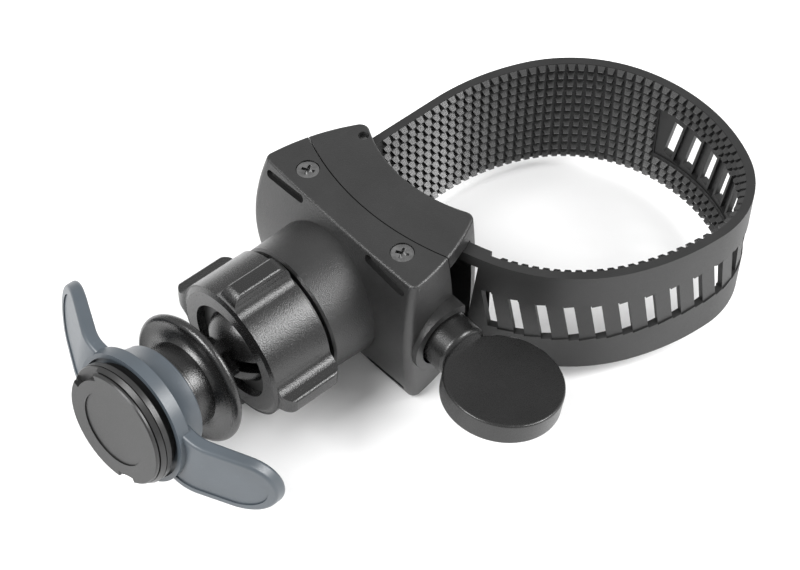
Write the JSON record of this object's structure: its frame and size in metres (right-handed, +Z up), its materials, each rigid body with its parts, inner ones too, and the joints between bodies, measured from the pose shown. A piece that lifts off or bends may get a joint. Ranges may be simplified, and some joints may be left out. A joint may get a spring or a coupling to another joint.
{
  "type": "phone mount",
  "caption": "Strap-on bicycle phone mount: slotted strap drawn in by a key and worm, clamped ball joint, twist-lock head with a bayonet disc.",
  "frame": {"origin": "centre of the strapped tube, level with the ball's centre", "axes": "-X towards the head, -Y along the strap key, +Z up along the tube"},
  "size_m": [0.1537, 0.0892, 0.041],
  "materials": {
    "casing_plastic": "matte black, fine spark-eroded grain",
    "strap_plastic": "flexible black plastic, satin",
    "satin_plastic": "satin black, smoother than the casing",
    "grey_plastic": "matt blue-grey",
    "bearing_plastic": "natural acetal",
    "dark_steel": "blackened steel"
  },
  "bodies": {
    "casing": {"front_casing": "casing_plastic", "back_casing": "casing_plastic", "casing_screws": "dark_steel", "strap": "strap_plastic", "strap_pin": "dark_steel", "end_bush": "bearing_plastic"},
    "key": {"key": "satin_plastic", "worm": "bearing_plastic", "worm_pin": "dark_steel", "thrust_washer": "dark_steel", "retaining_clip": "dark_steel"},
    "clamp_ring": {"clamp_ring": "satin_plastic"},
    "nut": {"clamp_nut": "casing_plastic"},
    "seat": {"ball_seat": "bearing_plastic"},
    "head": {"ball_stud": "satin_plastic", "interface_disc": "satin_plastic", "disc_screw": "dark_steel", "centre_cap": "satin_plastic", "lock_spring": "dark_steel"},
    "lock": {"lock_ring": "grey_plastic"}
  },
  "joints": [
    {"name": "key_turn", "type": "hinge", "parent": "casing", "child": "key", "pos_m": [-0.049, -0.03, 0], "axis": [0, -1, 0], "continuous": true},
    {"name": "clamp_travel", "type": "slide", "parent": "casing", "child": "clamp_ring", "axis": [-1, 0, 0], "range_m": [0, 0.002]},
    {"name": "nut_turn", "type": "hinge", "parent": "clamp_ring", "child": "nut", "pos_m": [-0.08, 0, 0], "axis": [-1, 0, 0], "range_deg": [0, 360]},
    {"name": "head_swivel", "type": "hinge", "parent": "casing", "child": "seat", "pos_m": [-0.08, 0, 0], "axis": [1, 0, 0], "continuous": true},
    {"name": "head_tilt", "type": "hinge", "parent": "seat", "child": "head", "pos_m": [-0.08, 0, 0], "axis": [0, 1, 0], "range_deg": [-33, 15]},
    {"name": "lock_turn", "type": "hinge", "parent": "head", "child": "lock", "pos_m": [-0.10944, -0.0032, 0.00482], "axis": [-0.9812, -0.1066, 0.1607], "range_deg": [0, 30], "stiffness_Nm_per_rad": 0.05}
  ],
  "couplings": [
    {"joint": "clamp_travel", "follows": "nut_turn", "m_per_rad": 0.000318}
  ]
}
